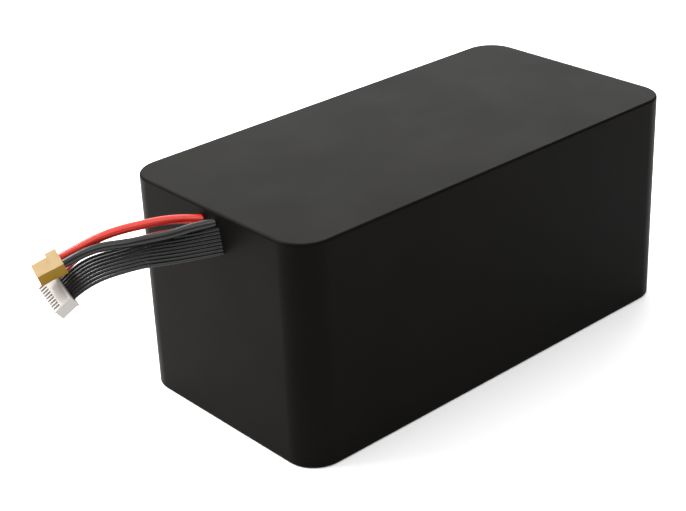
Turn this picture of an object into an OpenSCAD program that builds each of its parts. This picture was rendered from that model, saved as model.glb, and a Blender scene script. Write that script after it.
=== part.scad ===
// Battery pack of 32 cylindrical cells, eight in series and four in parallel, in one shrink sleeve.
// Origin: middle of the bottom face. +Z is up, the long way is Y, and the leads leave the -Y end.

/* [Cells] */
// Diameter of one cell
cell_d = 38; // [36:0.5:38]
// Length of one cell's can, without its terminals
cell_h = 122; // [100:1:140]
// Distance between neighbouring cell centres
cell_pitch = 40.5; // [40.5:0.1:44]
// Diameter of a cell's terminal boss
boss_d = 16; // [14:0.5:16]
// Height of a cell's terminal boss, which is also the thickness of the holder's face
boss_h = 3.6; // [3.2:0.1:5]

/* [Enclosure] */
// Thickness of the outer shrink sleeve
sleeve_t = 0.6; // [0.4:0.1:1]
// Rounding of the sleeve along its top and bottom edges
sleeve_edge_r = 1.7; // [1.2:0.1:2.5]
// Thickness of the insulating paper belt round the cells
paper_t = 0.5; // [0.3:0.1:1]
// Thickness of the top and bottom boards
board_t = 1.5; // [1:0.1:3]
// Wall of a cell holder outside its outer bores
holder_wall = 0.6; // [0.4:0.1:2]
// Depth of a cell holder's bores
holder_depth = 18; // [10:1:30]

/* [Busbars and screws] */
// Thickness of the busbars
busbar_t = 2; // [1:0.1:2.5]
// How far a busbar reaches past its outer screws
busbar_margin = 8; // [6:0.5:8]
// Thickness of the washers and the ring lugs
washer_t = 1.2; // [0.8:0.1:1.5]
// Height of a terminal screw's head
head_h = 3.3; // [2.5:0.1:4]

/* [Main leads] */
// Diameter of the two main leads over their insulation
lead_d = 5.5; // [4:0.1:5.6]

/* [Balance leads] */
// Diameter of each balance wire over its insulation
wire_d = 2; // [1.2:0.1:2]
// Pitch of the ways in the balance connector
way_pitch = 2.5; // [2.5:0.1:3]

/* [Main plug] */
// Length of the plug's housing
plug_l = 16.7; // [15:0.1:18]
// Width of the plug's rear collar
plug_w = 15.5; // [15.2:0.1:17]
// Thickness of the plug
plug_t = 7.7; // [7.2:0.1:9]
// Distance between the plug's two contacts
contact_spacing = 5.9; // [5.7:0.1:6.4]
// Bore of each contact, for a pin of this diameter
socket_d = 3.5; // [3:0.1:3.6]

/* [Hidden] */
$fn = 48;
eps = 0.5;

cols = 4;
rows = 8;
ways = 9;
bore_clear = 0.1;
bore_d = cell_d + bore_clear;

// The outside follows from the cells: outer bores, holder wall, paper and sleeve.
skin = holder_wall + paper_t + sleeve_t;
body_l = (rows - 1) * cell_pitch + bore_d + 2 * skin;
body_w = (cols - 1) * cell_pitch + bore_d + 2 * skin;
body_r = bore_d / 2 + skin;
head_gap = 0.3;
stack_h = sleeve_t + board_t + head_gap + head_h + washer_t + busbar_t + boss_h;
body_h = cell_h + 2 * stack_h;
end_y = -body_l / 2;

// Levels from the bottom, each mirrored at the top of the pack.
board_z = sleeve_t + board_t;
bar_z = board_z + head_gap + head_h + washer_t;
face_z = bar_z + busbar_t;
can_z = face_z + boss_h;

// Terminal hardware.
thread_d = 6;
clear_d = 6.4;
washer_d = 12;
head_d = 10.5;
screw_reach = 10;
bar_corner = 4;
ear_x = 8;
ear_y = 6;

// Sense board behind the lead exits, and the strips from it to the busbars.
tap_t = 1.2;
tap_y = end_y + sleeve_t + paper_t;
strip_t = 0.3;
strip_w = 8;

// Leads leave the -Y end. Their exits are measured from the middle of that end's top edge.
function at_exit(p) = [p[0], end_y + p[1], body_h + p[2]];
red_exit = [-6.7, 0, -8.7];
black_exit = [5.2, 0, -7.3];
wire_1_exit = [0.5, 0, -9.9];
slot_top = [8.6, 0, -10.3];
slot_low = [11.3, 0, -25.1];
hole_clear = 0.1;

// Plug and balance connector: where the middle of the rear face lies, from the same point,
// and how each is turned. Local +X points at the mating end, local Y is the width.
plug_at = [-38.3, -76.9, -18.5];
plug_turn = [-13.5, 19.5, -110];
collar_l = 7;
nose_t = plug_t - 0.2;
nose_cut = 1.6;
// How far the nose stands back from the collar's two sides.
far_step = 1.4;
near_step = 0.5;
contact_mid = 0.5;
contact_d = 4.1;
contact_front = 0.4;
socket_depth = 10;

conn_at = [-35.8, -77.9, -35];
conn_turn = [-17.5, 36, -110.5];
conn_l = 12.5;
conn_t = 8.5;
conn_end = 2.45;
conn_w = (ways - 1) * way_pitch + 2 * conn_end;
rim_l = 1.3;
rim_h = 0.8;
way_w = 2.2;
way_h = 2.4;
way_z = -0.2;
wire_stop = 2;
window_w = 1.3;
window_l = 4.8;
window_deep = conn_t / 2 - way_z - way_h / 2 + 0.1;
crimp_w = 1.7;
crimp_h = 2;
crimp_l = 7;
pin_hole = 0.9;
pin_bore = 5;

// Routes of the free leads, from the same point. Each ends in its connector, along its axis.
red_route = [red_exit, [-12, -8.5, -7.5], [-17.5, -20, -6.5], [-23, -31.5, -7],
    [-28, -42.5, -8], [-33, -54.5, -10.5]];
black_route = [black_exit, [0, -10, -8.3], [-6.5, -21.5, -10.7], [-14, -33.5, -12.4],
    [-21, -45, -13.5], [-27, -57, -13.5]];
wire_1_route = [wire_1_exit, [-7, -11, -11], [-16, -23, -12.5], [-25.5, -35, -15.5],
    [-35, -48, -18.5], [-41.5, -61, -23]];
wire_2_route = [slot_top, [-0.5, -10.5, -12.6], [-10, -22, -14.6], [-20, -34.5, -16.6],
    [-29.5, -47.5, -20], [-38, -61.5, -24]];
wire_9_route = [slot_low, [4.5, -12, -26], [-3, -26, -26.5], [-10, -39.5, -26.5],
    [-15.5, -53, -27.5], [-20.5, -66, -30]];
// Straight stretch behind the plug, and the wires' slight spread behind the connector.
lead_run = 9;
wire_run = 6;
wire_spread = 1.05;

// Routes of the main leads inside the pack, from the same point to their ring lugs.
red_inner = [red_exit, [-6.8, 10, -8.5], [-7.5, 20, -7.4], [-8.5, 30, -6.2], [-9, 38, -6],
    [-9, 45.5, -6]];
black_inner = [black_exit, [5.8, 10, -7.3], [7, 20, -6.8], [8.5, 30, -6.2], [9, 38, -6],
    [9, 45.5, -6]];

function cell_x(i) = (i - (cols - 1) / 2) * cell_pitch;
function cell_y(j) = (j - (rows - 1) / 2) * cell_pitch;

// Turns a vector about X, then Y, then Z, by the angles in a.
function turn_x(v, a) = [v[0], v[1] * cos(a) - v[2] * sin(a), v[1] * sin(a) + v[2] * cos(a)];
function turn_y(v, a) = [v[0] * cos(a) + v[2] * sin(a), v[1], v[2] * cos(a) - v[0] * sin(a)];
function turn_z(v, a) = [v[0] * cos(a) - v[1] * sin(a), v[0] * sin(a) + v[1] * cos(a), v[2]];
function turned(v, a) = turn_z(turn_y(turn_x(v, a[0]), a[1]), a[2]);
function on_plug(v) = plug_at + turned(v, plug_turn);
function on_conn(v) = conn_at + turned(v, conn_turn);

function way_y(k) = (k - (ways + 1) / 2) * way_pitch;
function mix(a, b, t) = [for (i = [0:len(a) - 1]) a[i] + (b[i] - a[i]) * t];
// The contacts lie nearer to one side of the collar, as the nose does.
function contact_y(side) = contact_mid + side * contact_spacing / 2;
function plug_end(side) = [for (x = [-lead_run, 0]) on_plug([x, contact_y(side), 0])];
function conn_tail(k) = [on_conn([-wire_run, wire_spread * way_y(k), way_z]),
    for (x = [0, wire_stop]) on_conn([x, way_y(k), way_z])];
function wire_middle(k) = k == 1 ? wire_1_route : mix(wire_2_route, wire_9_route, (k - 2) / 7);
function wire_route(k) = concat(wire_middle(k), conn_tail(k));

// Swept round tube: one ring of points at each point of the route.
function unit(v) = v / norm(v);
function heading(p, i) = unit(p[min(i + 1, len(p) - 1)] - p[max(i - 1, 0)]);
function side_of(t) = unit(cross(t, [0, 0, 1]));
function ring(c, t, r, n) = [for (k = [0:n - 1])
    let (s = side_of(t), a = 360 * (k + 0.5) / n) c + r * (cos(a) * s + sin(a) * cross(s, t))];
// The first ring lies in the end face of the pack, the last one square to the connector.
function tube_heading(p, i, first, last) =
    i == 0 ? first : (i == len(p) - 1 ? last : heading(p, i));

module tube(route, d, n, first, last) {
    p = [for (q = route) at_exit(q)];
    m = len(p);
    r = d / 2;
    points = [for (i = [0:m - 1]) each ring(p[i], tube_heading(p, i, first, last), r, n)];
    walls = [for (i = [0:m - 2], k = [0:n - 1])
        [i * n + k, (i + 1) * n + k, (i + 1) * n + (k + 1) % n, i * n + (k + 1) % n]];
    caps = [[for (k = [0:n - 1]) k], [for (k = [n - 1:-1:0]) (m - 1) * n + k]];
    polyhedron(points, concat(walls, caps), convexity = 6);
}

// Rectangle with round corners, centred.
module round_rect(w, l, r) {
    square([w - 2 * r, l], center = true);
    square([w, l - 2 * r], center = true);
    for (sx = [-1, 1], sy = [-1, 1])
        translate([sx * (w / 2 - r), sy * (l / 2 - r)]) circle(r);
}

module round_plate(w, l, r, t) {
    linear_extrude(t) round_rect(w, l, r);
}

// Places its children at the top of the pack as they lie at the bottom.
module at_top() {
    translate([0, 0, body_h]) mirror([0, 0, 1]) children();
}

// ---- Sleeve, boards and paper ----

// Cross-section of the sleeve's wall, from its outside at x = body_r in to x = 0.
module sleeve_section() {
    r = sleeve_edge_r;
    inner_r = 0.8;
    reach = body_r - sleeve_t;
    difference() {
        union() {
            square([body_r - r, body_h]);
            translate([0, r]) square([body_r, body_h - 2 * r]);
            for (z = [r, body_h - r]) translate([body_r - r, z]) circle(r);
        }
        translate([-eps, sleeve_t]) square([reach - inner_r + eps, body_h - 2 * sleeve_t]);
        translate([-eps, sleeve_t + inner_r])
            square([reach + eps, body_h - 2 * sleeve_t - 2 * inner_r]);
        for (z = [sleeve_t + inner_r, body_h - sleeve_t - inner_r])
            translate([reach - inner_r, z]) circle(inner_r);
    }
}

module sleeve_wall(length) {
    rotate([90, 0, 0]) linear_extrude(length, center = true) sleeve_section();
}

// Openings where the leads pass through the -Y end.
module lead_openings(clear) {
    for (p = [[red_exit, lead_d], [black_exit, lead_d], [wire_1_exit, wire_d]])
        translate(at_exit(p[0])) rotate([90, 0, 0])
            cylinder(d = p[1] + 2 * clear, h = 8, center = true);
    drop = slot_low - slot_top;
    lean = atan2(drop[0], -drop[2]);
    translate(at_exit(slot_top)) rotate([90, 0, 0]) rotate([0, 0, lean])
        linear_extrude(8, center = true) {
            w = wire_d + 2 * clear;
            translate([-w / 2, -norm(drop)]) square([w, norm(drop)]);
            circle(d = w);
            translate([0, -norm(drop)]) circle(d = w);
        }
}

module outer_sleeve() {
    flat_w = body_w - 2 * body_r;
    flat_l = body_l - 2 * body_r;
    color("#2b2a28") difference() {
        union() {
            for (z = [0, body_h - sleeve_t])
                translate([-flat_w / 2, -flat_l / 2, z]) cube([flat_w, flat_l, sleeve_t]);
            for (s = [0, 180]) rotate([0, 0, s]) {
                translate([flat_w / 2, 0, 0]) sleeve_wall(flat_l);
                translate([0, flat_l / 2, 0]) rotate([0, 0, 90]) sleeve_wall(flat_w);
                translate([flat_w / 2, flat_l / 2, 0])
                    rotate_extrude(angle = 90) sleeve_section();
                translate([-flat_w / 2, flat_l / 2, 0]) rotate([0, 0, 90])
                    rotate_extrude(angle = 90) sleeve_section();
            }
        }
        lead_openings(hole_clear);
    }
}

module cover_board() {
    inset = sleeve_t + 0.8;
    translate([0, 0, sleeve_t])
        round_plate(body_w - 2 * inset, body_l - 2 * inset, body_r - inset, board_t);
}

module top_board() {
    color("#3f6b4a") at_top() cover_board();
}

module bottom_board() {
    color("#3f6b4a") cover_board();
}

module side_paper() {
    out = 2 * sleeve_t;
    in = out + 2 * paper_t;
    color("#b9ad94") difference() {
        translate([0, 0, board_z]) linear_extrude(body_h - 2 * board_z) difference() {
            round_rect(body_w - out, body_l - out, body_r - out / 2);
            round_rect(body_w - in, body_l - in, body_r - in / 2);
        }
        lead_openings(hole_clear);
    }
}

// ---- Cells and their holders ----

// Room for the leads at the -Y end: a pocket in the face, and a shallow slot down the middle.
pocket_x = -11;
pocket_w = 21;
pocket_l = 31;
wire_slot_w = 23.6;
wire_slot_l = 3.3;

module lead_pocket() {
    translate([pocket_x, end_y, face_z - eps]) cube([pocket_w, pocket_l, boss_h + eps]);
    translate([pocket_x, end_y, face_z - eps])
        cube([wire_slot_w, wire_slot_l, holder_depth + boss_h + 2 * eps]);
}

module cell_holder() {
    inset = sleeve_t + paper_t;
    gap_d = 10;
    difference() {
        translate([0, 0, face_z])
            round_plate(body_w - 2 * inset, body_l - 2 * inset, body_r - inset,
                boss_h + holder_depth);
        for (i = [0:cols - 1], j = [0:rows - 1]) translate([cell_x(i), cell_y(j), 0]) {
            translate([0, 0, can_z]) cylinder(d = bore_d, h = holder_depth + eps);
            translate([0, 0, face_z - eps]) cylinder(d = boss_d + 1, h = boss_h + 2 * eps);
        }
        for (i = [0:cols - 2], j = [0:rows - 2])
            translate([cell_x(i) + cell_pitch / 2, cell_y(j) + cell_pitch / 2, face_z - eps])
                cylinder(d = gap_d, h = boss_h + holder_depth + 2 * eps);
        lead_pocket();
    }
}

module upper_cell_holder() {
    color("#1f1f21") at_top() cell_holder();
}

module lower_cell_holder() {
    color("#1f1f21") cell_holder();
}

// One cell, standing on its negative end.
module cell() {
    groove_w = 1.6;
    groove_deep = 0.8;
    groove_at = 6;
    difference() {
        union() {
            cylinder(d = cell_d, h = cell_h);
            translate([0, 0, -boss_h]) cylinder(d = boss_d, h = cell_h + 2 * boss_h);
        }
        translate([0, 0, cell_h - groove_at]) difference() {
            cylinder(d = cell_d + 2, h = groove_w);
            translate([0, 0, -eps]) cylinder(d = cell_d - 2 * groove_deep, h = groove_w + 2 * eps);
        }
        for (z = [-boss_h - eps, cell_h + boss_h - screw_reach])
            translate([0, 0, z]) cylinder(d = thread_d + 0.1, h = screw_reach + eps);
    }
}

// Four cells in parallel. Odd groups stand with the positive end up.
// Groups 1 to 4 run down the -X side away from the leads, 5 to 8 come back on the +X side.
module cell_group(k) {
    i0 = k <= 4 ? 0 : 2;
    j0 = k <= 4 ? 2 * (k - 1) : 2 * (8 - k);
    for (i = [i0, i0 + 1], j = [j0, j0 + 1])
        translate([cell_x(i), cell_y(j), body_h / 2])
            rotate([k % 2 == 1 ? 0 : 180, 0, 0])
                translate([0, 0, -cell_h / 2]) cell();
}

// ---- Busbars and terminal hardware ----

// Plate over the cells from column i0 to i1 and row j0 to j1, with an ear for its sense tap.
module busbar(i0, i1, j0, j1, ear_side, ear_end) {
    w = cell_x(i1) - cell_x(i0) + 2 * busbar_margin;
    l = cell_y(j1) - cell_y(j0) + 2 * busbar_margin;
    cx = (cell_x(i0) + cell_x(i1)) / 2;
    cy = (cell_y(j0) + cell_y(j1)) / 2;
    inner_x = cell_pitch / 2 - busbar_margin;
    translate([0, 0, bar_z]) difference() {
        union() {
            translate([cx, cy, 0]) round_plate(w, l, bar_corner, busbar_t);
            translate([ear_side > 0 ? inner_x : -inner_x - ear_x,
                cy + ear_end * (l / 2 + ear_y / 2) - ear_y / 2 - bar_corner / 2, 0])
                cube([ear_x, ear_y + bar_corner, busbar_t]);
        }
        for (i = [i0:i1], j = [j0:j1])
            translate([cell_x(i), cell_y(j), -eps]) cylinder(d = clear_d, h = busbar_t + 2 * eps);
        for (i = [i0:i1 - 1], j = [j0:j1 - 1])
            translate([cell_x(i) + cell_pitch / 2, cell_y(j) + cell_pitch / 2, -eps])
                cylinder(d = 22, h = busbar_t + 2 * eps);
    }
}

module positive_busbar() {
    color("#c9c5bd") at_top() busbar(0, 1, 0, 1, -1, 1);
}

module upper_link_2_3() {
    color("#c9c5bd") at_top() busbar(0, 1, 2, 5, -1, -1);
}

module upper_link_4_5() {
    color("#c9c5bd") at_top() busbar(0, 3, 6, 7, -1, -1);
}

module upper_link_6_7() {
    color("#c9c5bd") at_top() busbar(2, 3, 2, 5, 1, -1);
}

module negative_busbar() {
    color("#c9c5bd") at_top() busbar(2, 3, 0, 1, 1, 1);
}

module lower_link_1_2() {
    color("#c9c5bd") busbar(0, 1, 0, 3, -1, 1);
}

module lower_link_3_4() {
    color("#c9c5bd") busbar(0, 1, 4, 7, -1, -1);
}

module lower_link_5_6() {
    color("#c9c5bd") busbar(2, 3, 4, 7, 1, -1);
}

module lower_link_7_8() {
    color("#c9c5bd") busbar(2, 3, 0, 3, 1, 1);
}

module terminal_screw() {
    socket_af = 4;
    difference() {
        union() {
            translate([0, 0, -head_h]) cylinder(d = head_d, h = head_h);
            cylinder(d = thread_d, h = screw_reach - 1);
        }
        translate([0, 0, -head_h - eps])
            cylinder(d = socket_af / cos(30), h = head_h * 0.6 + eps, $fn = 6);
    }
}

module each_terminal() {
    for (i = [0:cols - 1], j = [0:rows - 1])
        translate([cell_x(i), cell_y(j), 0]) children();
}

module upper_terminal_screws() {
    color("#8f9092") at_top() translate([0, 0, bar_z - washer_t]) each_terminal()
        terminal_screw();
}

module lower_terminal_screws() {
    color("#8f9092") translate([0, 0, bar_z - washer_t]) each_terminal() terminal_screw();
}

module washer() {
    difference() {
        cylinder(d = washer_d, h = washer_t);
        translate([0, 0, -eps]) cylinder(d = clear_d, h = washer_t + 2 * eps);
    }
}

// The two cells that carry the main leads have a ring lug in place of the washer.
function has_lug(i, j) = j == 1 && (i == 1 || i == 2);

module upper_washers() {
    color("#a9aaac") at_top() for (i = [0:cols - 1], j = [0:rows - 1])
        if (!has_lug(i, j)) translate([cell_x(i), cell_y(j), bar_z - washer_t]) washer();
}

module lower_washers() {
    color("#a9aaac") translate([0, 0, bar_z - washer_t]) each_terminal() washer();
}

// ---- Leads inside the pack ----

// Ring lug: crimped barrel at the end of the lead, flat tongue and ring under the screw.
module ring_lug(side) {
    barrel_d = 4.6;
    barrel_l = 5;
    tongue_w = 7;
    tail = at_exit(side < 0 ? red_inner[5] : black_inner[5]);
    eye = [side * cell_pitch / 2, cell_y(1), body_h - bar_z];
    run = [eye[0] - tail[0], eye[1] - tail[1]];
    aim = atan2(run[1], run[0]);
    difference() {
        union() {
            translate(tail) rotate([0, 0, aim]) rotate([0, 90, 0])
                cylinder(d = barrel_d, h = barrel_l);
            translate([tail[0], tail[1], eye[2]]) rotate([0, 0, aim])
                translate([barrel_l - 1, -tongue_w / 2, 0])
                    cube([norm(run) - barrel_l + 1, tongue_w, washer_t]);
            translate(eye) cylinder(d = washer_d, h = washer_t);
        }
        translate(eye - [0, 0, eps]) cylinder(d = clear_d, h = washer_t + 2 * eps);
    }
}

module positive_lug() {
    color("#c8763c") ring_lug(-1);
}

module negative_lug() {
    color("#c8763c") ring_lug(1);
}

module positive_lead_inner() {
    aim = atan2(cell_y(1) - end_y - red_inner[5][1], -cell_pitch / 2 - red_inner[5][0]);
    color("#c8321e") tube(red_inner, lead_d, 10, [0, 1, 0], [cos(aim), sin(aim), 0]);
}

module negative_lead_inner() {
    aim = atan2(cell_y(1) - end_y - black_inner[5][1], cell_pitch / 2 - black_inner[5][0]);
    color("#1b1b1c") tube(black_inner, lead_d, 10, [0, 1, 0], [cos(aim), sin(aim), 0]);
}

// Saddle over the two leads, resting on the holder's face under the top board.
module lead_saddle() {
    at_y = end_y + pocket_l + 5;
    long = 6;
    wide = 23;
    lead_x = 8.9;
    lead_z = body_h - 6.05;
    strip_clear = strip_w + 2;
    top = body_h - board_z - 0.2;
    base = body_h - face_z;
    color("#e6e3da") difference() {
        translate([-wide / 2, at_y - long / 2, base]) cube([wide, long, top - base]);
        for (x = [-lead_x, lead_x]) {
            translate([x, at_y, lead_z]) rotate([90, 0, 0])
                cylinder(d = lead_d + 0.4, h = long + 2 * eps, center = true);
            translate([x - lead_d / 2 - 0.2, at_y - long / 2 - eps, base - eps])
                cube([lead_d + 0.4, long + 2 * eps, lead_z - base + eps]);
        }
        translate([-strip_clear / 2, at_y - long / 2 - eps, base - eps])
            cube([strip_clear, long + 2 * eps, 1.2]);
    }
}

// ---- Sense taps ----

// Board behind the lead exits: the main leads pass through it, the balance wires end on it.
module tap_board() {
    x0 = -10.8;
    x1 = 12.5;
    z1 = body_h - board_z - 0.3;
    z0 = body_h + slot_low[2] - 4;
    color("#2f5d8a") difference() {
        translate([x0, tap_y, z0]) cube([x1 - x0, tap_t, z1 - z0]);
        for (p = [red_exit, black_exit]) translate(at_exit(p)) rotate([90, 0, 0])
            cylinder(d = lead_d + 0.3, h = 12, center = true);
    }
}

// One tongue from the strip to the edge of a busbar's ear.
module tongue(side, y, z) {
    reach = cell_pitch / 2 - busbar_margin;
    translate([side > 0 ? strip_w / 2 - 1 : -reach, y - 2, z])
        cube([reach - strip_w / 2 + 1, 4, strip_t]);
}

// Middle of the ear of a busbar that ends at row j.
function ear_mid(j, way) = cell_y(j) + way * (busbar_margin + ear_y / 2);

module upper_sense_strip() {
    z = body_h - face_z;
    y0 = tap_y + tap_t;
    neck_w = 6;
    neck_l = pocket_l + 2;
    last_y = ear_mid(6, -1) + 2;
    color("#c8862a") {
        // Between the main leads the strip is narrower, level with the holder's face.
        translate([-neck_w / 2 - 0.2, y0, z]) cube([neck_w, neck_l + 1, strip_t]);
        translate([-strip_w / 2, y0 + neck_l, z]) cube([strip_w, last_y - y0 - neck_l, strip_t]);
        for (t = [[-1, ear_mid(1, 1)], [1, ear_mid(1, 1)], [-1, ear_mid(2, -1)],
            [1, ear_mid(2, -1)], [-1, ear_mid(6, -1)]])
            tongue(t[0], t[1], z);
    }
}

module lower_sense_strip() {
    z = face_z - strip_t;
    y0 = tap_y + tap_t;
    color("#c8862a") {
        translate([-strip_w / 2, y0, z])
            cube([strip_w, strip_t, body_h + slot_low[2] - z]);
        translate([-strip_w / 2, y0, z]) cube([strip_w, ear_mid(4, -1) + 2 - y0, strip_t]);
        for (s = [-1, 1]) {
            tongue(s, ear_mid(3, 1), z);
            tongue(s, ear_mid(4, -1), z);
        }
    }
}

// ---- Free leads ----

plug_axis = turned([1, 0, 0], plug_turn);
conn_axis = turned([1, 0, 0], conn_turn);

module positive_lead() {
    color("#c8321e")
        tube(concat(red_route, plug_end(-1)), lead_d, 10, [0, -1, 0], plug_axis);
}

module negative_lead() {
    color("#1b1b1c")
        tube(concat(black_route, plug_end(1)), lead_d, 10, [0, -1, 0], plug_axis);
}

module balance_wire(k) {
    color(k == 1 ? "#c8321e" : "#1b1b1c")
        tube(wire_route(k), wire_d, 8, [0, -1, 0], conn_axis);
}

// ---- Main plug ----

module place_plug() {
    translate(at_exit(plug_at)) rotate(plug_turn) children();
}

// Nose of the plug: two corners are cut off along one side, so that it fits only one way round.
module plug_nose() {
    t = nose_t / 2;
    c = nose_cut;
    far = far_step - plug_w / 2;
    near = plug_w / 2 - near_step;
    translate([collar_l - eps, 0, 0]) rotate([90, 0, 90]) linear_extrude(plug_l - collar_l + eps)
        polygon([[near, -t], [near, t], [far + c, t], [far, t - c], [far, c - t], [far + c, -t]]);
}

module plug_housing() {
    color("#d9b23a") place_plug() difference() {
        union() {
            translate([0, -plug_w / 2, -plug_t / 2]) cube([collar_l, plug_w, plug_t]);
            plug_nose();
        }
        for (s = [-1, 1]) translate([-eps, contact_y(s), 0]) rotate([0, 90, 0])
            cylinder(d = contact_d, h = plug_l + 2 * eps);
    }
}

// Socket contact, bored for the pin at the front. The lead is soldered to its rear end.
module contact(side) {
    front = plug_l - contact_front;
    color("#d8b45a") place_plug() translate([0, contact_y(side), 0])
        rotate([0, 90, 0]) difference() {
            cylinder(d = contact_d, h = front);
            translate([0, 0, front - socket_depth]) cylinder(d = socket_d, h = socket_depth + eps);
        }
}

module positive_contact() {
    contact(-1);
}

module negative_contact() {
    contact(1);
}

// ---- Balance connector ----

module place_conn() {
    translate(at_exit(conn_at)) rotate(conn_turn) children();
}

module balance_housing() {
    color("#e9e9e6") place_conn() difference() {
        union() {
            translate([0, -conn_w / 2, -conn_t / 2]) cube([conn_l, conn_w, conn_t]);
            translate([0, -conn_w / 2 - rim_h, -conn_t / 2])
                cube([rim_l, conn_w + 2 * rim_h, conn_t + rim_h]);
        }
        for (k = [1:ways]) translate([0, way_y(k), 0]) {
            translate([-eps, -way_w / 2, way_z - way_h / 2])
                cube([conn_l + 2 * eps, way_w, way_h]);
            translate([conn_l - window_l, -window_w / 2, conn_t / 2 - window_deep])
                cube([window_l + eps, window_w, window_deep + eps]);
        }
    }
}

module balance_contacts() {
    color("#b9bcc0") place_conn() for (k = [1:ways])
        translate([wire_stop, way_y(k), way_z])
        difference() {
            translate([0, -crimp_w / 2, -crimp_h / 2]) cube([crimp_l, crimp_w, crimp_h]);
            translate([crimp_l - pin_bore, -pin_hole / 2, -pin_hole / 2])
                cube([pin_bore + eps, pin_hole, pin_hole]);
        }
}

outer_sleeve();
top_board();
bottom_board();
side_paper();
upper_cell_holder();
lower_cell_holder();
for (k = [1:8])
    color("#3d6fb0") cell_group(k);
positive_busbar();
upper_link_2_3();
upper_link_4_5();
upper_link_6_7();
negative_busbar();
lower_link_1_2();
lower_link_3_4();
lower_link_5_6();
lower_link_7_8();
upper_terminal_screws();
lower_terminal_screws();
upper_washers();
lower_washers();
positive_lug();
negative_lug();
positive_lead_inner();
negative_lead_inner();
lead_saddle();
tap_board();
upper_sense_strip();
lower_sense_strip();
positive_lead();
negative_lead();
for (k = [1:ways])
    balance_wire(k);
plug_housing();
positive_contact();
negative_contact();
balance_housing();
balance_contacts();
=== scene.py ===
"""Looks of the battery pack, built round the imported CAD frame. Every length is in metres."""

import math

import bmesh
import bpy
import numpy as np
from mathutils import Matrix, Vector


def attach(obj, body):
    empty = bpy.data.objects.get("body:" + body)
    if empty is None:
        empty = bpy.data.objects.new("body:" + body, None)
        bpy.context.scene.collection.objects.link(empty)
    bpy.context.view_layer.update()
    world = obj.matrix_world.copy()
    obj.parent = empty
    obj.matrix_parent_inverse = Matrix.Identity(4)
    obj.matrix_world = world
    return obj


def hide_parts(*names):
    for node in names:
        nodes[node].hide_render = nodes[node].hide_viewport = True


MM = 0.001

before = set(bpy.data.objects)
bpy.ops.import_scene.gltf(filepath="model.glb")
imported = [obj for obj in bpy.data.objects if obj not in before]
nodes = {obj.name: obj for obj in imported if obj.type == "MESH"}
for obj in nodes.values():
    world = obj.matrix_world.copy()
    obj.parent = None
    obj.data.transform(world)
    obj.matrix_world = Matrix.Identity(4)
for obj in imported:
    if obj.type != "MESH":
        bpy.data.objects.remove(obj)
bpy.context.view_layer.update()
scene = bpy.context.scene


# ---- Camera ----

CAMERA_TARGET = Vector((-0.06906, 0.0, 0.03396))
CAMERA_AZIMUTH = math.radians(48.866)
CAMERA_ELEVATION = math.radians(26.46)
CAMERA_ROLL = math.radians(-2.499)
CAMERA_DISTANCE = 1.09477
CAMERA_LENS_MM = 82.136
SENSOR_WIDTH_MM = 36.0


def make_camera():
    level = math.cos(CAMERA_ELEVATION)
    back = Vector(
        (
            math.sin(CAMERA_AZIMUTH) * level,
            -math.cos(CAMERA_AZIMUTH) * level,
            math.sin(CAMERA_ELEVATION),
        )
    )
    flat_right = Vector((0, 0, 1)).cross(back).normalized()
    flat_up = back.cross(flat_right)
    right = flat_right * math.cos(CAMERA_ROLL) + flat_up * math.sin(CAMERA_ROLL)
    up = flat_up * math.cos(CAMERA_ROLL) - flat_right * math.sin(CAMERA_ROLL)
    data = bpy.data.cameras.new("camera")
    data.lens = CAMERA_LENS_MM
    data.sensor_width = SENSOR_WIDTH_MM
    data.clip_start = 0.01
    data.clip_end = 100
    camera = bpy.data.objects.new("camera", data)
    turn = Matrix((right, up, back)).transposed().to_4x4()
    place = Matrix.Translation(CAMERA_TARGET + back * CAMERA_DISTANCE)
    camera.matrix_world = place @ turn
    scene.collection.objects.link(camera)
    scene.camera = camera


make_camera()


# ---- Materials ----


def rgb(red, green, blue):
    """An sRGB colour from 0 to 255 as the linear colour that a shader takes."""

    def linear(value):
        value /= 255
        return value / 12.92 if value <= 0.04045 else ((value + 0.055) / 1.055) ** 2.4

    return (linear(red), linear(green), linear(blue), 1.0)


def shade(color, factor):
    return tuple(min(1.0, channel * factor) for channel in color[:3]) + (1.0,)


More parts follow.
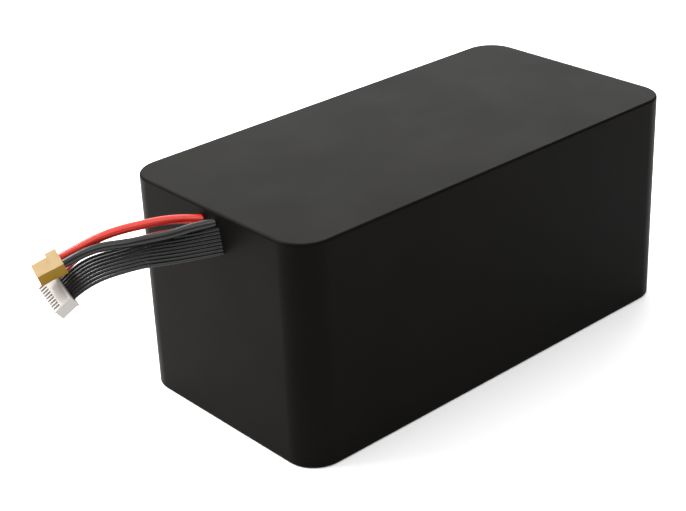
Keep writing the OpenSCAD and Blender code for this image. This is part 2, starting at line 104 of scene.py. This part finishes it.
class Nodes:
    """A material's node tree, with short calls for the nodes used here."""

    def __init__(self, name):
        self.material = bpy.data.materials.new(name)
        self.material.use_nodes = True
        self.tree = self.material.node_tree
        self.shader = self.tree.nodes["Principled BSDF"]
        self.place = self.add("ShaderNodeTexCoord").outputs["Object"]

    def add(self, kind, **values):
        node = self.tree.nodes.new(kind)
        for key, value in values.items():
            setattr(node, key, value)
        return node

    def link(self, source, target):
        self.tree.links.new(source, target)

    def noise(self, scale, detail=3.0, stretch=None, roughness=0.5):
        node = self.add("ShaderNodeTexNoise")
        node.inputs["Scale"].default_value = scale
        node.inputs["Detail"].default_value = detail
        node.inputs["Roughness"].default_value = roughness
        source = self.place
        if stretch is not None:
            mapping = self.add("ShaderNodeMapping")
            mapping.inputs["Scale"].default_value = stretch
            self.link(self.place, mapping.inputs["Vector"])
            source = mapping.outputs["Vector"]
        self.link(source, node.inputs["Vector"])
        return node.outputs["Fac"]

    def ramp(self, source, low, high, start=0.0, end=1.0):
        node = self.add("ShaderNodeMapRange")
        node.inputs["From Min"].default_value = low
        node.inputs["From Max"].default_value = high
        node.inputs["To Min"].default_value = start
        node.inputs["To Max"].default_value = end
        self.link(source, node.inputs["Value"])
        return node.outputs["Result"]

    def mix(self, factor, first, second):
        node = self.add("ShaderNodeMix", data_type="RGBA")
        self.link(factor, node.inputs["Factor"])
        for socket, value in ((node.inputs[6], first), (node.inputs[7], second)):
            if isinstance(value, tuple):
                socket.default_value = value
            else:
                self.link(value, socket)
        return node.outputs[2]

    def bump(self, height, distance, strength=1.0, after=None):
        node = self.add("ShaderNodeBump")
        node.inputs["Strength"].default_value = strength
        node.inputs["Distance"].default_value = distance
        self.link(height, node.inputs["Height"])
        if after is not None:
            self.link(after, node.inputs["Normal"])
        return node.outputs["Normal"]

    def finish(self, color, roughness, normal, **sockets):
        self.link(color, self.shader.inputs["Base Color"])
        self.link(roughness, self.shader.inputs["Roughness"])
        if normal is not None:
            self.link(normal, self.shader.inputs["Normal"])
        for name, value in sockets.items():
            self.shader.inputs[name.replace("_", " ")].default_value = value
        return self.material


def film(name):
    """Smooth black shrink film: faint clouding, and a very shallow ripple over the cells."""
    n = Nodes(name)
    cloud = n.noise(17, 4.0)
    color = n.mix(n.ramp(cloud, 0.35, 0.65), rgb(9, 8, 7), rgb(11, 10, 8))
    rough = n.ramp(n.noise(30, 2.0), 0.3, 0.7, 0.4, 0.44)
    ripple = n.bump(n.noise(20, 1.0), 0.0004, 0.08)
    normal = n.bump(n.noise(1500, 3.0), 0.00001, 0.15, after=ripple)
    return n.finish(color, rough, normal, Specular_IOR_Level=0.02)


def silicone(name, color, specular):
    """Soft extruded silicone: smooth, with a slightly uneven gloss."""
    n = Nodes(name)
    tone = n.noise(160, 3.0)
    shown = n.mix(n.ramp(tone, 0.3, 0.7), shade(color, 0.94), shade(color, 1.06))
    rough = n.ramp(n.noise(420, 4.0), 0.3, 0.7, 0.22, 0.28)
    normal = n.bump(n.noise(2600, 3.0), 0.00001, 0.25)
    return n.finish(shown, rough, normal, Specular_IOR_Level=specular)


def moulded(name, color, roughness=0.42, specular=0.5, grain=900, spread=0.06):
    """Injection-moulded plastic: spark-eroded grain, slight flow marks."""
    n = Nodes(name)
    flow = n.noise(70, 4.0, stretch=(1.0, 2.5, 1.0))
    shown = n.mix(n.ramp(flow, 0.3, 0.7), shade(color, 1 - spread), shade(color, 1 + spread))
    rough = n.ramp(n.noise(350, 3.0), 0.3, 0.7, roughness - 0.05, roughness + 0.06)
    normal = n.bump(n.noise(grain, 2.0), 0.00003, 0.5)
    return n.finish(shown, rough, normal, Specular_IOR_Level=specular)


def metal(name, color, roughness=0.3, stretch=(1.0, 0.06, 1.0), scale=1200):
    """Rolled or plated metal: brushed lines, and a little tarnish."""
    n = Nodes(name)
    lines = n.noise(scale, 4.0, stretch=stretch)
    tarnish = n.noise(60, 5.0)
    shown = n.mix(n.ramp(tarnish, 0.4, 0.75), color, shade(color, 0.72))
    rough = n.ramp(lines, 0.3, 0.7, roughness - 0.07, roughness + 0.1)
    return n.finish(shown, rough, n.bump(lines, 0.00003, 0.35), Metallic=1.0)


WEAVE_SCALE = 250 / 3


def laminate(name, color):
    """Glass-epoxy board: a woven ground under a coloured resist."""
    n = Nodes(name)
    threads = n.add("ShaderNodeTexWave", wave_type="BANDS", bands_direction="X")
    cross = n.add("ShaderNodeTexWave", wave_type="BANDS", bands_direction="Y")
    for wave in (threads, cross):
        wave.inputs["Scale"].default_value = WEAVE_SCALE
        n.link(n.place, wave.inputs["Vector"])
    weave = n.add("ShaderNodeMath", operation="MULTIPLY")
    n.link(threads.outputs["Fac"], weave.inputs[0])
    n.link(cross.outputs["Fac"], weave.inputs[1])
    shown = n.mix(weave.outputs[0], shade(color, 0.85), shade(color, 1.12))
    rough = n.ramp(n.noise(300, 3.0), 0.3, 0.7, 0.28, 0.4)
    return n.finish(shown, rough, n.bump(weave.outputs[0], 0.00002, 0.4))


def paper(name, color):
    """Pressed insulating paper: long fibres and a dull surface."""
    n = Nodes(name)
    fibre = n.noise(900, 6.0, stretch=(1.0, 0.25, 1.0), roughness=0.7)
    shown = n.mix(n.ramp(fibre, 0.3, 0.7), shade(color, 0.82), shade(color, 1.1))
    rough = n.ramp(fibre, 0.2, 0.8, 0.7, 0.9)
    return n.finish(shown, rough, n.bump(fibre, 0.00006, 0.5), Specular_IOR_Level=0.3)


M_FILM = film("film_black")
M_RED = silicone("silicone_red", rgb(174, 30, 14), 0.35)
M_BLACK = silicone("silicone_black", rgb(9, 9, 9), 0.3)
M_WHITE = moulded("nylon_white", rgb(148, 146, 143), 0.45, 0.5, spread=0.02)
M_YELLOW = moulded("nylon_yellow", rgb(116, 88, 3), 0.34, 0.17, spread=0.03)
M_HOLDER = moulded("holder_plastic", rgb(31, 31, 33), 0.5, grain=600)
M_CAN = moulded("cell_film", rgb(48, 104, 178), 0.3, grain=300)
M_PLATE = metal("plated_copper", rgb(201, 197, 189))
M_STEEL = metal("zinc_steel", rgb(160, 162, 165), 0.32, stretch=(1, 1, 0.2))
M_COPPER = metal("bare_copper", rgb(206, 128, 78), 0.3)
M_GOLD = metal("gold_plate", rgb(226, 184, 96), 0.24, stretch=(1, 1, 1), scale=500)
M_TIN = metal("tin_plate", rgb(186, 188, 192), 0.34, stretch=(1, 1, 1), scale=600)
M_BOARD = laminate("glass_epoxy", rgb(58, 104, 74))
M_TAP = laminate("tap_laminate", rgb(40, 88, 140))
M_PAPER = paper("barley_paper", rgb(190, 178, 150))
M_AMBER = moulded("amber_film", rgb(206, 134, 40), 0.25, grain=400)

CARRIED = {
    "top_board": M_BOARD,
    "bottom_board": M_BOARD,
    "side_paper": M_PAPER,
    "upper_cell_holder": M_HOLDER,
    "lower_cell_holder": M_HOLDER,
    "upper_terminal_screws": M_STEEL,
    "lower_terminal_screws": M_STEEL,
    "upper_washers": M_STEEL,
    "lower_washers": M_STEEL,
    "positive_lug": M_COPPER,
    "negative_lug": M_COPPER,
    "positive_lead_inner": M_RED,
    "negative_lead_inner": M_BLACK,
    "lead_saddle": M_WHITE,
    "tap_board": M_TAP,
    "upper_sense_strip": M_AMBER,
    "lower_sense_strip": M_AMBER,
}
for name in nodes:
    if name.startswith("cell_group"):
        CARRIED[name] = M_CAN
    elif "busbar" in name or "link" in name:
        CARRIED[name] = M_PLATE


def dress(obj, material):
    obj.data.materials.clear()
    obj.data.materials.append(material)


for name, material in CARRIED.items():
    dress(nodes[name], material)


# ---- Mesh helpers ----

# Edges sharper than this are bevelled.
BEVEL_FROM_DEG = 30


def add_mesh(name, vertices, faces, material):
    """Smooth-shaded mesh from lists of points and faces."""
    mesh = bpy.data.meshes.new(name)
    mesh.from_pydata([tuple(v) for v in vertices], [], faces)
    mesh.update()
    mesh.polygons.foreach_set("use_smooth", [True] * len(mesh.polygons))
    mesh.materials.append(material)
    obj = bpy.data.objects.new(name, mesh)
    scene.collection.objects.link(obj)
    return obj


def add_bmesh(name, build, material=None):
    """Mesh that build makes in the bmesh it is given, with its faces turned outwards."""
    mesh = bpy.data.meshes.new(name)
    bm = bmesh.new()
    build(bm)
    bmesh.ops.recalc_face_normals(bm, faces=bm.faces)
    bm.to_mesh(mesh)
    bm.free()
    if material:
        mesh.materials.append(material)
    obj = bpy.data.objects.new(name, mesh)
    scene.collection.objects.link(obj)
    return obj


def bake(obj):
    """Turns the object's modifiers into its mesh."""
    graph = bpy.context.evaluated_depsgraph_get()
    mesh = bpy.data.meshes.new_from_object(obj.evaluated_get(graph))
    obj.modifiers.clear()
    obj.data = mesh


def cut(obj, cutters, operation="DIFFERENCE"):
    """Takes the cutters from the object, or joins them to it with UNION, and deletes them."""
    for cutter in cutters:
        modifier = obj.modifiers.new("cut", "BOOLEAN")
        modifier.operation = operation
        modifier.solver = "EXACT"
        modifier.object = cutter
    bpy.context.view_layer.update()
    bake(obj)
    for cutter in cutters:
        bpy.data.objects.remove(cutter)


def soften(obj, width, segments=2):
    """Rounds the sharp edges a little and keeps the flat faces flat in shading."""
    bevel = obj.modifiers.new("bevel", "BEVEL")
    bevel.width = width
    bevel.segments = segments
    bevel.limit_method = "ANGLE"
    bevel.angle_limit = math.radians(BEVEL_FROM_DEG)
    bevel.use_clamp_overlap = True
    bpy.context.view_layer.update()
    bake(obj)
    shade_by_weight(obj)


def shade_by_weight(obj, angle=50):
    obj.data.polygons.foreach_set("use_smooth", [True] * len(obj.data.polygons))
    obj.data.set_sharp_from_angle(angle=math.radians(angle))
    modifier = obj.modifiers.new("normals", "WEIGHTED_NORMAL")
    modifier.keep_sharp = True
    modifier.weight = 100
    bpy.context.view_layer.update()
    bake(obj)


def place(obj, matrix):
    obj.data.transform(matrix)
    obj.data.update()


def keep(obj, slot, *replaced):
    """The piece rides on the pack and stands for the CAD nodes it hides. The slot argument is not
    used.
    """
    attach(obj, "root")
    if replaced:
        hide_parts(*replaced)
    return obj


def box(name, low, high):
    def build(bm):
        bmesh.ops.create_cube(bm, size=1.0)
        for vertex in bm.verts:
            for axis in range(3):
                middle = (low[axis] + high[axis]) / 2
                vertex.co[axis] = middle + vertex.co[axis] * (high[axis] - low[axis])

    return add_bmesh(name, build)


def rod(name, radius, start, end, sides=48):
    """Closed cylinder along X from start to end."""

    def build(bm):
        bmesh.ops.create_cone(
            bm, cap_ends=True, segments=sides, radius1=radius, radius2=radius, depth=end - start
        )
        turn = Matrix.Rotation(math.pi / 2, 4, "Y")
        shift = Matrix.Translation(((start + end) / 2, 0, 0))
        bmesh.ops.transform(bm, matrix=shift @ turn, verts=bm.verts)

    return add_bmesh(name, build)


def extruded(name, outline, start, end):
    """Closed prism along X over an outline of (y, z) points."""
    count = len(outline)
    vertices = [(x, y, z) for x in (start, end) for y, z in outline]
    faces = [tuple(range(count))[::-1], tuple(range(count, 2 * count))]
    faces += [(i, (i + 1) % count, count + (i + 1) % count, count + i) for i in range(count)]

    def build(bm):
        made = [bm.verts.new(v) for v in vertices]
        for face in faces:
            bm.faces.new([made[i] for i in face])

    return add_bmesh(name, build)


# ---- Free leads ----
# The routes are those of part.scad, in millimetres from the middle of the -Y end's top edge.

PACK_LENGTH = 325 * MM
PACK_WIDTH = 163 * MM
PACK_HEIGHT = 147 * MM
EXIT_FACE = Vector((0, -PACK_LENGTH / 2, PACK_HEIGHT))
# How far a lead starts behind the film's outer face.
INSIDE = 0.6 * MM

LEAD_D = 5.5 * MM
WIRE_D = 2 * MM
RED_ROUTE = [
    (-6.7, 0, -8.7), (-12, -8.5, -7.5), (-17.5, -20, -6.5),
    (-23, -31.5, -7), (-28, -42.5, -8), (-33, -54.5, -10.5),
]
BLACK_ROUTE = [
    (5.2, 0, -7.3), (0, -10, -8.3), (-6.5, -21.5, -10.7),
    (-14, -33.5, -12.4), (-21, -45, -13.5), (-27, -57, -13.5),
]
WIRE_1_ROUTE = [
    (0.5, 0, -9.9), (-7, -11, -11), (-16, -23, -12.5),
    (-25.5, -35, -15.5), (-35, -48, -18.5), (-41.5, -61, -23),
]
WIRE_2_ROUTE = [
    (8.6, 0, -10.3), (-0.5, -10.5, -12.6), (-10, -22, -14.6),
    (-20, -34.5, -16.6), (-29.5, -47.5, -20), (-38, -61.5, -24),
]
WIRE_9_ROUTE = [
    (11.3, 0, -25.1), (4.5, -12, -26), (-3, -26, -26.5),
    (-10, -39.5, -26.5), (-15.5, -53, -27.5), (-20.5, -66, -30),
]
ROUTE_POINTS = 40
# Fine points worked out for each point of a route that is kept.
FINE_STEPS = 40
LEAD_SIDES = 40
WIRE_SIDES = 20


def turned(about_x, about_y, about_z):
    """Turn about X, then Y, then Z, in degrees."""
    turn = Matrix.Rotation(math.radians(about_z), 4, "Z")
    turn = turn @ Matrix.Rotation(math.radians(about_y), 4, "Y")
    return turn @ Matrix.Rotation(math.radians(about_x), 4, "X")


def at_exit(point):
    """A route's point as a place in the frame."""
    return EXIT_FACE + Vector(point) * MM


PLUG = Matrix.Translation(at_exit((-38.3, -76.9, -18.5))) @ turned(-13.5, 19.5, -110)
CONNECTOR = Matrix.Translation(at_exit((-35.8, -77.9, -35))) @ turned(-17.5, 36, -110.5)

PLUG_L = 16.7 * MM
PLUG_W = 15.5 * MM
PLUG_T = 7.7 * MM
COLLAR_L = 7 * MM
NOSE_T = PLUG_T - 0.2 * MM
NOSE_CUT = 1.6 * MM
FAR_STEP = 1.4 * MM
NEAR_STEP = 0.5 * MM
NOSE_OVERLAP = 0.5 * MM
CONTACT_MID = 0.5 * MM
CONTACT_SPACING = 5.9 * MM
CONTACT_D = 4.1 * MM
CONTACT_FRONT = 0.4 * MM
SOCKET_D = 3.5 * MM
SOCKET_DEPTH = 10 * MM
LEAD_RUN = 9 * MM

WAYS = 9
WAY_PITCH = 2.5 * MM
CONN_L = 12.5 * MM
CONN_T = 8.5 * MM
CONN_W = 24.9 * MM
RIM_L = 1.3 * MM
RIM_H = 0.8 * MM
WAY_W = 2.2 * MM
WAY_H = 2.4 * MM
WAY_Z = -0.2 * MM
WIRE_STOP = 2 * MM
WINDOW_W = 1.3 * MM
WINDOW_L = 4.8 * MM
WINDOW_DEEP = CONN_T / 2 - WAY_Z - WAY_H / 2 + 0.1 * MM
CRIMP_W = 1.7 * MM
CRIMP_H = 2 * MM
CRIMP_L = 7 * MM
PIN_HOLE = 0.9 * MM
PIN_BORE = 5 * MM
# How far behind the connector a wire is square to it, and how much wider the wires lie there.
WIRE_RUN = 6 * MM
WIRE_SPREAD = 1.05


def contact_y(side):
    return CONTACT_MID + side * CONTACT_SPACING / 2


def way_y(way):
    return (way - (WAYS + 1) / 2) * WAY_PITCH


def clamped(points, first, last, count):
    """Smooth curve through the points that starts along first and ends along last."""
    p = np.array(points, float)
    gap = np.linalg.norm(np.diff(p, axis=0), axis=1)
    size = len(p)
    system = np.eye(size)
    known = np.zeros((size, 3))
    known[0] = np.array(first)
    known[-1] = np.array(last)
    for i in range(1, size - 1):
        before, after = gap[i - 1], gap[i]
        system[i, i - 1] = 1 / before
        system[i, i] = 2 / before + 2 / after
        system[i, i + 1] = 1 / after
        rise = (p[i] - p[i - 1]) / before**2 + (p[i + 1] - p[i]) / after**2
        known[i] = 3 * rise
    slope = np.linalg.solve(system, known)
    knots = np.concatenate([[0], np.cumsum(gap)])
    fine = np.linspace(0, knots[-1], FINE_STEPS * count)
    place_of = np.clip(np.searchsorted(knots, fine, side="right") - 1, 0, size - 2)
    h = gap[place_of]
    t = ((fine - knots[place_of]) / h)[:, None]
    h = h[:, None]
    a, b = p[place_of], p[place_of + 1]
    ma, mb = slope[place_of], slope[place_of + 1]
    curve = (2 * t**3 - 3 * t**2 + 1) * a + (t**3 - 2 * t**2 + t) * h * ma
    curve += (3 * t**2 - 2 * t**3) * b + (t**3 - t**2) * h * mb
    run = np.concatenate([[0], np.cumsum(np.linalg.norm(np.diff(curve, axis=0), axis=1))])
    even = np.linspace(0, run[-1], count)
    return np.stack([np.interp(even, run, curve[:, axis]) for axis in range(3)], axis=1)


def frames(path):
    """A tangent and a side direction at each point, turning as little as possible."""
    tangents = np.gradient(path, axis=0)
    tangents /= np.linalg.norm(tangents, axis=1)[:, None]
    side = np.cross(tangents[0], (0, 0, 1.0))
    sides = []
    for tangent in tangents:
        side = side - tangent * (side @ tangent)
        side = side / np.linalg.norm(side)
        sides.append(side)
    return tangents, np.array(sides)


def tube(name, path, radius, sides, material):
    """Closed round tube along the path."""
    tangents, across = frames(path)
    over = np.cross(across, tangents)
    angles = np.arange(sides) * 2 * math.pi / sides
    vertices = []
    for centre, s, o in zip(path, across, over):
        for angle in angles:
            vertices.append(centre + radius * (math.cos(angle) * s + math.sin(angle) * o))
    faces = []
    for i in range(len(path) - 1):
        for k in range(sides):
            k2 = (k + 1) % sides
            faces.append((i * sides + k, (i + 1) * sides + k, (i + 1) * sides + k2, i * sides + k2))
    last = (len(path) - 1) * sides
    faces.append(tuple(range(sides)))
    faces.append(tuple(last + k for k in reversed(range(sides))))
    obj = add_mesh(name, vertices, faces, material)
    obj.data.set_sharp_from_angle(angle=math.radians(60))
    return obj


def lead_path(route, ends, into):
    """The lead starts inside the film, already leaning its way, and runs into its connector."""
    points = [at_exit(p) for p in route]
    first = (points[1] - points[0]).normalized()
    start = points[0] - first * (INSIDE / abs(first.y))
    middle = [start] + points + list(ends)
    return clamped([tuple(p) for p in middle], tuple(first), tuple(into), ROUTE_POINTS)


def plug_ends(side):
    """The last two points of a main lead: square to the plug, then at its rear face."""
    return [PLUG @ Vector((x, contact_y(side), 0)) for x in (-LEAD_RUN, 0)]


def way_ends(way):
    """The last points of a balance wire: behind the connector, at its rear, in its contact."""
    y = way_y(way)
    points = [(-WIRE_RUN, WIRE_SPREAD * y, WAY_Z), (0, y, WAY_Z), (WIRE_STOP, y, WAY_Z)]
    return [CONNECTOR @ Vector(point) for point in points]


def wire_route(way):
    """Wire 1 has its own route, and wires 2 to 9 lie evenly between the two outer ones."""
    if way == 1:
        return WIRE_1_ROUTE
    share = (way - 2) / (WAYS - 2)
    pairs = zip(WIRE_2_ROUTE, WIRE_9_ROUTE)
    return [tuple(np.array(a) + (np.array(b) - np.array(a)) * share) for a, b in pairs]


for name, route, side, material, slot in (
    ("positive_lead", RED_ROUTE, -1, M_RED, "red_silicone"),
    ("negative_lead", BLACK_ROUTE, 1, M_BLACK, "black_silicone"),
):
    path = lead_path(route, plug_ends(side), PLUG.col[0][:3])
    piece = tube(name + "_insulation", path, LEAD_D / 2, LEAD_SIDES, material)
    keep(piece, slot, name)
for way in range(1, WAYS + 1):
    path = lead_path(wire_route(way), way_ends(way), CONNECTOR.col[0][:3])
    material, slot = (M_RED, "red_silicone") if way == 1 else (M_BLACK, "black_silicone")
    piece = tube(f"balance_wire_{way}_insulation", path, WIRE_D / 2, WIRE_SIDES, material)
    keep(piece, slot, f"balance_wire_{way}")
    at_exit(wire_route(way)[0])


# ---- Main plug ----

PLUG_EDGE = 0.3 * MM
SOCKET_EDGE = 0.08 * MM
SLIT_W = 0.35 * MM
SLIT_L = 6 * MM


def plug_nose():
    """The nose, with the far corners of its section cut off."""
    t, c = NOSE_T / 2, NOSE_CUT
    low, high = FAR_STEP - PLUG_W / 2, PLUG_W / 2 - NEAR_STEP
    outline = [(high, -t), (high, t), (low + c, t), (low, t - c), (low, c - t), (low + c, -t)]
    return extruded("nose", outline, COLLAR_L - NOSE_OVERLAP, PLUG_L)


def main_plug():
    """Collar and nose as one moulding, with a bore for each contact."""
    housing = box("plug_shell", (0, -PLUG_W / 2, -PLUG_T / 2), (COLLAR_L, PLUG_W / 2, PLUG_T / 2))
    cut(housing, [plug_nose()], "UNION")
    bores = []
    for side in (-1, 1):
        bore = rod("bore", CONTACT_D / 2, -MM, PLUG_L + MM)
        place(bore, Matrix.Translation((0, contact_y(side), 0)))
        bores.append(bore)
    cut(housing, bores)
    soften(housing, PLUG_EDGE, 3)
    dress(housing, M_YELLOW)
    place(housing, PLUG)
    return keep(housing, "yellow_nylon", "plug_housing")


def socket_contact(name, side):
    """Socket with a softened mouth and four spring slits, closed at the back."""
    front = PLUG_L - CONTACT_FRONT
    radius = CONTACT_D / 2
    body = rod(name, radius, 0, front)
    bore = rod("bore", SOCKET_D / 2, front - SOCKET_DEPTH, front + MM)
    slits = []
    for turn in (45, 135):
        low = (front - SLIT_L, -radius - MM, -SLIT_W / 2)
        slit = box("slit", low, (front + MM, radius + MM, SLIT_W / 2))
        place(slit, Matrix.Rotation(math.radians(turn), 4, "X"))
        slits.append(slit)
    cut(body, [bore] + slits)
    soften(body, SOCKET_EDGE)
    dress(body, M_GOLD)
    place(body, PLUG @ Matrix.Translation((0, contact_y(side), 0)))
    return keep(body, "gold_contact", name.replace("_socket", "_contact"))


plug = main_plug()
plug_pieces = {
    "plug": plug,
    "positive": socket_contact("positive_socket", -1),
    "negative": socket_contact("negative_socket", 1),
}


# ---- Balance connector ----

CONN_EDGE = 0.12 * MM
CRIMP_EDGE = 0.1 * MM


def balance_shell():
    """Housing with a rim at its rear, nine ways through it and a window over each."""
    low = (0, -CONN_W / 2, -CONN_T / 2)
    shell = box("balance_shell", low, (CONN_L, CONN_W / 2, CONN_T / 2))
    rim = box(
        "rim",
        (0, -CONN_W / 2 - RIM_H, -CONN_T / 2),
        (RIM_L, CONN_W / 2 + RIM_H, CONN_T / 2 + RIM_H),
    )
    cut(shell, [rim], "UNION")
    cutters = []
    for way in range(1, WAYS + 1):
        y = way_y(way)
        cutters.append(
            box(
                "way",
                (-MM, y - WAY_W / 2, WAY_Z - WAY_H / 2),
                (CONN_L + MM, y + WAY_W / 2, WAY_Z + WAY_H / 2),
            )
        )
        cutters.append(
            box(
                "window",
                (CONN_L - WINDOW_L, y - WINDOW_W / 2, CONN_T / 2 - WINDOW_DEEP),
                (CONN_L + MM, y + WINDOW_W / 2, CONN_T / 2 + MM),
            )
        )
    cut(shell, cutters)
    soften(shell, CONN_EDGE)
    dress(shell, M_WHITE)
    place(shell, CONNECTOR)
    return keep(shell, "white_nylon", "balance_housing")


def balance_crimps():
    """Nine crimped contacts as one piece, each with its pin hole."""
    made = None
    bores = []
    for way in range(1, WAYS + 1):
        y = way_y(way)
        part = box(
            "crimp",
            (WIRE_STOP, y - CRIMP_W / 2, WAY_Z - CRIMP_H / 2),
            (WIRE_STOP + CRIMP_L, y + CRIMP_W / 2, WAY_Z + CRIMP_H / 2),
        )
        bores.append(
            box(
                "pin",
                (WIRE_STOP + CRIMP_L - PIN_BORE, y - PIN_HOLE / 2, WAY_Z - PIN_HOLE / 2),
                (WIRE_STOP + CRIMP_L + MM, y + PIN_HOLE / 2, WAY_Z + PIN_HOLE / 2),
            )
        )
        if made is None:
            made = part
            made.name = "balance_crimps"
        else:
            cut(made, [part], "UNION")
    cut(made, bores)
    soften(made, CRIMP_EDGE)
    dress(made, M_TIN)
    place(made, CONNECTOR)
    return keep(made, "tinned_contact", "balance_contacts")


shell = balance_shell()
crimps = balance_crimps()


# ---- Sleeve ----

SLEEVE_T = 0.6 * MM
EDGE_R = 1.7 * MM
CORNER_R = 20.75 * MM
HOLE_CLEAR = 0.1 * MM
CORNER_STEPS = 24
EDGE_STEPS = 8
SLOT_STEPS = 12
SLEEVE_SHARP_DEG = 40
CUTTER_REACH = 4 * MM


def rounded_outline(inset):
    """The sleeve's outline, pulled in by inset, as (x, y) points."""
    radius = CORNER_R - inset
    half_w, half_l = PACK_WIDTH / 2 - CORNER_R, PACK_LENGTH / 2 - CORNER_R
    points = []
    for corner, (sx, sy) in enumerate(((1, 1), (-1, 1), (-1, -1), (1, -1))):
        for step in range(CORNER_STEPS + 1):
            angle = math.pi / 2 * (corner + step / CORNER_STEPS)
            x = sx * half_w + radius * math.cos(angle)
            y = sy * half_l + radius * math.sin(angle)
            points.append((x, y))
    return points


def sleeve_skin(name, inward, edge):
    """Closed rounded box, pulled in by inward, with its edges rounded by edge."""
    levels = []
    for step in range(EDGE_STEPS + 1):
        angle = math.pi / 2 * step / EDGE_STEPS
        levels.append((edge * (1 - math.sin(angle)), edge * (1 - math.cos(angle))))
    rings = [(inset + inward, low + inward) for inset, low in levels]
    rings += [(inset, PACK_HEIGHT - z) for inset, z in reversed(rings)]
    vertices, faces = [], []
    for inset, z in rings:
        vertices += [(x, y, z) for x, y in rounded_outline(inset)]
    count = 4 * (CORNER_STEPS + 1)
    for i in range(len(rings) - 1):
        for k in range(count):
            k2 = (k + 1) % count
            faces.append((i * count + k, i * count + k2, (i + 1) * count + k2, (i + 1) * count + k))
    faces.append(tuple(reversed(range(count))))
    faces.append(tuple((len(rings) - 1) * count + k for k in range(count)))
    return add_mesh(name, vertices, faces, M_FILM)


def hole_cutters():
    """A round hole for each main lead and wire 1, and one slot for wires 2 to 9."""
    cutters = []
    for point, diameter in (
        (RED_ROUTE[0], LEAD_D), (BLACK_ROUTE[0], LEAD_D), (WIRE_1_ROUTE[0], WIRE_D),
    ):
        hole = rod("hole", diameter / 2 + HOLE_CLEAR, -CUTTER_REACH, CUTTER_REACH)
        place(hole, Matrix.Translation(at_exit(point)) @ Matrix.Rotation(math.pi / 2, 4, "Z"))
        cutters.append(hole)
    top, low = at_exit(WIRE_2_ROUTE[0]), at_exit(WIRE_9_ROUTE[0])
    along = (low - top).normalized()
    across = Vector((along.z, 0, -along.x))
    radius = WIRE_D / 2 + HOLE_CLEAR
    outline = []
    for middle, sign in ((top, -1), (low, 1)):
        for step in range(SLOT_STEPS + 1):
            angle = math.pi * step / SLOT_STEPS
            turned_out = math.cos(angle) * across + math.sin(angle) * along
            outline.append(middle + radius * sign * turned_out)
    flat = [(-point.x, point.z) for point in outline]
    slot_shape = extruded("slot", flat, -CUTTER_REACH, CUTTER_REACH)
    # The prism's X, Y and Z become the frame's Y, -X and Z.
    turn = Matrix(((0, -1, 0, 0), (1, 0, 0, -PACK_LENGTH / 2), (0, 0, 1, 0), (0, 0, 0, 1)))
    place(slot_shape, turn)
    cutters.append(slot_shape)
    return cutters


def sleeve():
    """The film round the whole pack, hollow, with the holes for the leads."""
    outer = sleeve_skin("sleeve_film", 0, EDGE_R)
    inner = sleeve_skin("hollow", SLEEVE_T, EDGE_R - SLEEVE_T)
    cut(outer, [inner] + hole_cutters())
    shade_by_weight(outer, SLEEVE_SHARP_DEG)
    dress(outer, M_FILM)
    return keep(outer, "sleeve_film", "outer_sleeve")


sleeve()


# ---- Floor and light ----


def softbox(name, position, target, width, height, radiance, tint=(1.0, 1.0, 1.0)):
    """Rectangular area light that looks equally bright from every side it faces."""
    data = bpy.data.lights.new(name, "AREA")
    data.color = tint
    data.shape = "RECTANGLE"
    data.size = width
    data.size_y = height
    data.energy = radiance * math.pi * width * height
    obj = bpy.data.objects.new(name, data)
    obj.location = position
    direction = Vector(target) - Vector(position)
    obj.rotation_mode = "QUATERNION"
    obj.rotation_quaternion = direction.to_track_quat("-Z", "Y")
    scene.collection.objects.link(obj)


FLOOR_HALF = 8.0
WORLD_STRENGTH = 0.4
WARM = (1.0, 0.88, 0.8)


def pale_floor():
    def build(bm):
        bmesh.ops.create_grid(bm, x_segments=1, y_segments=1, size=FLOOR_HALF)

    n = Nodes("floor_white")
    grain = n.noise(6, 2.0)
    color = n.mix(grain, rgb(246, 246, 246), rgb(250, 250, 250))
    rough = n.ramp(grain, 0, 1, 0.75, 0.85)
    material = n.finish(color, rough, None, Specular_IOR_Level=0.1)
    floor = add_bmesh("floor", build, material)


def studio():
    """Even pale surroundings, and soft lamps above, beyond, to the right and to the left."""
    world = bpy.data.worlds.new("studio")
    world.use_nodes = True
    background = world.node_tree.nodes["Background"]
    background.inputs["Color"].default_value = (1, 1, 1, 1)
    background.inputs["Strength"].default_value = WORLD_STRENGTH
    scene.world = world
    softbox("overhead", (-0.4, -0.25, 2.0), (-0.4, -0.25, 0.0), 3.2, 3.2, 1.9)
    softbox("right_fill", (1.5, -0.5, 1.7), (0.25, -0.1, 0.0), 1.4, 1.4, 3.2)
    softbox("beyond_low", (-1.98, 1.72, 0.86), (0.0, 0.0, 0.1), 3.0, 0.7, 1.8)
    softbox("beyond_high", (-1.75, 1.52, 1.5), (0.0, 0.0, 0.1), 2.8, 0.9, 5.0)
    softbox("left_high", (-1.47, -0.68, 1.74), (-0.04, -0.24, 0.13), 1.3, 0.9, 19.0)
    softbox("left_front", (-0.9, -1.1, 0.9), (-0.25, -0.4, 0.0), 0.7, 0.7, 10.0, WARM)


pale_floor()
studio()
scene.view_settings.view_transform = "Standard"
scene.view_settings.look = "None"
